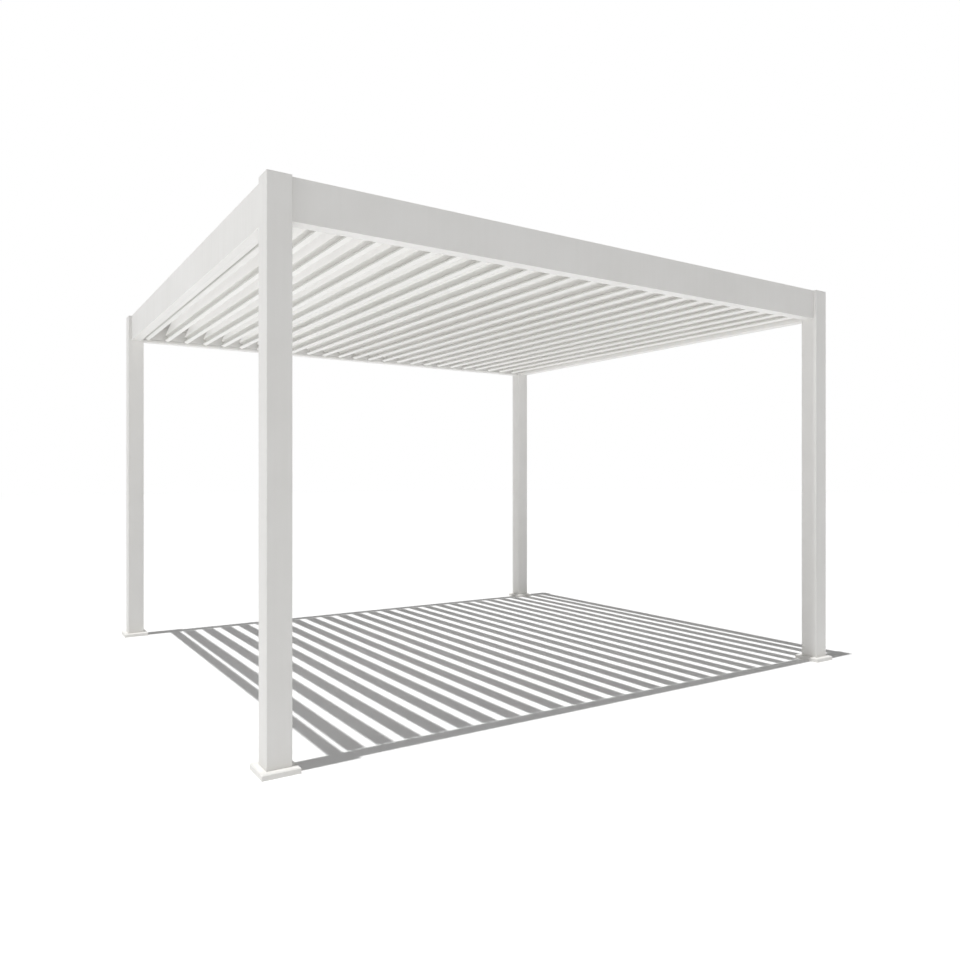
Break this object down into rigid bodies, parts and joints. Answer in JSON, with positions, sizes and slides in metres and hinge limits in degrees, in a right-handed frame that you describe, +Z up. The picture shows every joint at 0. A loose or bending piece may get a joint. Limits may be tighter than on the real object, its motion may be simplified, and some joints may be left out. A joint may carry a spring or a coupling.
{
  "type": "louvred patio cover",
  "caption": "Freestanding flat-roofed patio cover: square posts, a box-beam ring with inner gutters and turning roof louvres that open and close together.",
  "frame": {"origin": "on the ground under the middle of the roof", "axes": "+X along the longer side, +Y towards the back, +Z up; the louvres run along Y"},
  "size_m": [3.908, 3.578, 2.5],
  "materials": {
    "powder_coat_frame": "satin white powder coat on aluminium",
    "powder_coat_louvre": "satin white powder coat on aluminium",
    "powder_coat_cap": "satin white powder coat on cast aluminium",
    "galvanised_plate": "hot-dip galvanised",
    "stainless_fixings": "turned stainless steel pins, clips and screws",
    "nylon_bush": "natural nylon, moulded",
    "pale_seal": "pale grey extruded rubber",
    "dark_gasket": "dark grey extruded rubber"
  },
  "bodies": {
    "frame": {"post_front_left": "powder_coat_frame", "post_front_right": "powder_coat_frame", "post_back_left": "powder_coat_frame", "post_back_right": "powder_coat_frame", "post_cap_front_left": "powder_coat_cap", "post_cap_front_right": "powder_coat_cap", "post_cap_back_left": "powder_coat_cap", "post_cap_back_right": "powder_coat_cap", "foot_plate_front_left": "galvanised_plate", "foot_plate_front_right": "galvanised_plate", "foot_plate_back_left": "galvanised_plate", "foot_plate_back_right": "galvanised_plate", "foot_cover_front_left": "powder_coat_frame", "foot_cover_front_right": "powder_coat_frame", "foot_cover_back_left": "powder_coat_frame", "foot_cover_back_right": "powder_coat_frame", "beam_front": "powder_coat_frame", "beam_back": "powder_coat_frame", "beam_left": "powder_coat_frame", "beam_right": "powder_coat_frame", "pivot_rail_front": "powder_coat_frame", "pivot_rail_back": "powder_coat_frame"},
    "louvre_01": {"louvre_01": "powder_coat_louvre"},
    "louvre_02": {"louvre_02": "powder_coat_louvre"},
    "louvre_03": {"louvre_03": "powder_coat_louvre"},
    "louvre_04": {"louvre_04": "powder_coat_louvre"},
    "louvre_05": {"louvre_05": "powder_coat_louvre"},
    "louvre_06": {"louvre_06": "powder_coat_louvre"},
    "louvre_07": {"louvre_07": "powder_coat_louvre"},
    "louvre_08": {"louvre_08": "powder_coat_louvre"},
    "louvre_09": {"louvre_09": "powder_coat_louvre"},
    "louvre_10": {"louvre_10": "powder_coat_louvre"},
    "louvre_11": {"louvre_11": "powder_coat_louvre"},
    "louvre_12": {"louvre_12": "powder_coat_louvre"},
    "louvre_13": {"louvre_13": "powder_coat_louvre"},
    "louvre_14": {"louvre_14": "powder_coat_louvre"},
    "louvre_15": {"louvre_15": "powder_coat_louvre"},
    "louvre_16": {"louvre_16": "powder_coat_louvre"},
    "louvre_17": {"louvre_17": "powder_coat_louvre"},
    "louvre_18": {"louvre_18": "powder_coat_louvre"},
    "louvre_19": {"louvre_19": "powder_coat_louvre"},
    "louvre_20": {"louvre_20": "powder_coat_louvre"},
    "louvre_21": {"louvre_21": "powder_coat_louvre"},
    "louvre_22": {"louvre_22": "powder_coat_louvre"},
    "louvre_23": {"louvre_23": "powder_coat_louvre"},
    "louvre_24": {"louvre_24": "powder_coat_louvre"},
    "louvre_25": {"louvre_25": "powder_coat_louvre"}
  },
  "joints": [
    {"name": "louvre_01_pivot", "type": "hinge", "parent": "frame", "child": "louvre_01", "pos_m": [-1.788, 0, 2.376], "axis": [0, -1, 0], "range_deg": [-68, 42]},
    {"name": "louvre_02_pivot", "type": "hinge", "parent": "frame", "child": "louvre_02", "pos_m": [-1.64162, 0, 2.376], "axis": [0, -1, 0], "range_deg": [-68, 42]},
    {"name": "louvre_03_pivot", "type": "hinge", "parent": "frame", "child": "louvre_03", "pos_m": [-1.49524, 0, 2.376], "axis": [0, -1, 0], "range_deg": [-68, 42]},
    {"name": "louvre_04_pivot", "type": "hinge", "parent": "frame", "child": "louvre_04", "pos_m": [-1.34886, 0, 2.376], "axis": [0, -1, 0], "range_deg": [-68, 42]},
    {"name": "louvre_05_pivot", "type": "hinge", "parent": "frame", "child": "louvre_05", "pos_m": [-1.20248, 0, 2.376], "axis": [0, -1, 0], "range_deg": [-68, 42]},
    {"name": "louvre_06_pivot", "type": "hinge", "parent": "frame", "child": "louvre_06", "pos_m": [-1.0561, 0, 2.376], "axis": [0, -1, 0], "range_deg": [-68, 42]},
    {"name": "louvre_07_pivot", "type": "hinge", "parent": "frame", "child": "louvre_07", "pos_m": [-0.90972, 0, 2.376], "axis": [0, -1, 0], "range_deg": [-68, 42]},
    {"name": "louvre_08_pivot", "type": "hinge", "parent": "frame", "child": "louvre_08", "pos_m": [-0.76334, 0, 2.376], "axis": [0, -1, 0], "range_deg": [-68, 42]},
    {"name": "louvre_09_pivot", "type": "hinge", "parent": "frame", "child": "louvre_09", "pos_m": [-0.61696, 0, 2.376], "axis": [0, -1, 0], "range_deg": [-68, 42]},
    {"name": "louvre_10_pivot", "type": "hinge", "parent": "frame", "child": "louvre_10", "pos_m": [-0.47058, 0, 2.376], "axis": [0, -1, 0], "range_deg": [-68, 42]},
    {"name": "louvre_11_pivot", "type": "hinge", "parent": "frame", "child": "louvre_11", "pos_m": [-0.3242, 0, 2.376], "axis": [0, -1, 0], "range_deg": [-68, 42]},
    {"name": "louvre_12_pivot", "type": "hinge", "parent": "frame", "child": "louvre_12", "pos_m": [-0.17782, 0, 2.376], "axis": [0, -1, 0], "range_deg": [-68, 42]},
    {"name": "louvre_13_pivot", "type": "hinge", "parent": "frame", "child": "louvre_13", "pos_m": [-0.03144, 0, 2.376], "axis": [0, -1, 0], "range_deg": [-68, 42]},
    {"name": "louvre_14_pivot", "type": "hinge", "parent": "frame", "child": "louvre_14", "pos_m": [0.11494, 0, 2.376], "axis": [0, -1, 0], "range_deg": [-68, 42]},
    {"name": "louvre_15_pivot", "type": "hinge", "parent": "frame", "child": "louvre_15", "pos_m": [0.26132, 0, 2.376], "axis": [0, -1, 0], "range_deg": [-68, 42]},
    {"name": "louvre_16_pivot", "type": "hinge", "parent": "frame", "child": "louvre_16", "pos_m": [0.4077, 0, 2.376], "axis": [0, -1, 0], "range_deg": [-68, 42]},
    {"name": "louvre_17_pivot", "type": "hinge", "parent": "frame", "child": "louvre_17", "pos_m": [0.55408, 0, 2.376], "axis": [0, -1, 0], "range_deg": [-68, 42]},
    {"name": "louvre_18_pivot", "type": "hinge", "parent": "frame", "child": "louvre_18", "pos_m": [0.70046, 0, 2.376], "axis": [0, -1, 0], "range_deg": [-68, 42]},
    {"name": "louvre_19_pivot", "type": "hinge", "parent": "frame", "child": "louvre_19", "pos_m": [0.84684, 0, 2.376], "axis": [0, -1, 0], "range_deg": [-68, 42]},
    {"name": "louvre_20_pivot", "type": "hinge", "parent": "frame", "child": "louvre_20", "pos_m": [0.99322, 0, 2.376], "axis": [0, -1, 0], "range_deg": [-68, 42]},
    {"name": "louvre_21_pivot", "type": "hinge", "parent": "frame", "child": "louvre_21", "pos_m": [1.1396, 0, 2.376], "axis": [0, -1, 0], "range_deg": [-68, 42]},
    {"name": "louvre_22_pivot", "type": "hinge", "parent": "frame", "child": "louvre_22", "pos_m": [1.28598, 0, 2.376], "axis": [0, -1, 0], "range_deg": [-68, 42]},
    {"name": "louvre_23_pivot", "type": "hinge", "parent": "frame", "child": "louvre_23", "pos_m": [1.43236, 0, 2.376], "axis": [0, -1, 0], "range_deg": [-68, 42]},
    {"name": "louvre_24_pivot", "type": "hinge", "parent": "frame", "child": "louvre_24", "pos_m": [1.57874, 0, 2.376], "axis": [0, -1, 0], "range_deg": [-68, 42]},
    {"name": "louvre_25_pivot", "type": "hinge", "parent": "frame", "child": "louvre_25", "pos_m": [1.72512, 0, 2.376], "axis": [0, -1, 0], "range_deg": [-68, 42]}
  ],
  "couplings": [
    {"joint": "louvre_02_pivot", "follows": "louvre_01_pivot", "ratio": 1},
    {"joint": "louvre_03_pivot", "follows": "louvre_01_pivot", "ratio": 1},
    {"joint": "louvre_04_pivot", "follows": "louvre_01_pivot", "ratio": 1},
    {"joint": "louvre_05_pivot", "follows": "louvre_01_pivot", "ratio": 1},
    {"joint": "louvre_06_pivot", "follows": "louvre_01_pivot", "ratio": 1},
    {"joint": "louvre_07_pivot", "follows": "louvre_01_pivot", "ratio": 1},
    {"joint": "louvre_08_pivot", "follows": "louvre_01_pivot", "ratio": 1},
    {"joint": "louvre_09_pivot", "follows": "louvre_01_pivot", "ratio": 1},
    {"joint": "louvre_10_pivot", "follows": "louvre_01_pivot", "ratio": 1},
    {"joint": "louvre_11_pivot", "follows": "louvre_01_pivot", "ratio": 1},
    {"joint": "louvre_12_pivot", "follows": "louvre_01_pivot", "ratio": 1},
    {"joint": "louvre_13_pivot", "follows": "louvre_01_pivot", "ratio": 1},
    {"joint": "louvre_14_pivot", "follows": "louvre_01_pivot", "ratio": 1},
    {"joint": "louvre_15_pivot", "follows": "louvre_01_pivot", "ratio": 1},
    {"joint": "louvre_16_pivot", "follows": "louvre_01_pivot", "ratio": 1},
    {"joint": "louvre_17_pivot", "follows": "louvre_01_pivot", "ratio": 1},
    {"joint": "louvre_18_pivot", "follows": "louvre_01_pivot", "ratio": 1},
    {"joint": "louvre_19_pivot", "follows": "louvre_01_pivot", "ratio": 1},
    {"joint": "louvre_20_pivot", "follows": "louvre_01_pivot", "ratio": 1},
    {"joint": "louvre_21_pivot", "follows": "louvre_01_pivot", "ratio": 1},
    {"joint": "louvre_22_pivot", "follows": "louvre_01_pivot", "ratio": 1},
    {"joint": "louvre_23_pivot", "follows": "louvre_01_pivot", "ratio": 1},
    {"joint": "louvre_24_pivot", "follows": "louvre_01_pivot", "ratio": 1},
    {"joint": "louvre_25_pivot", "follows": "louvre_01_pivot", "ratio": 1}
  ]
}
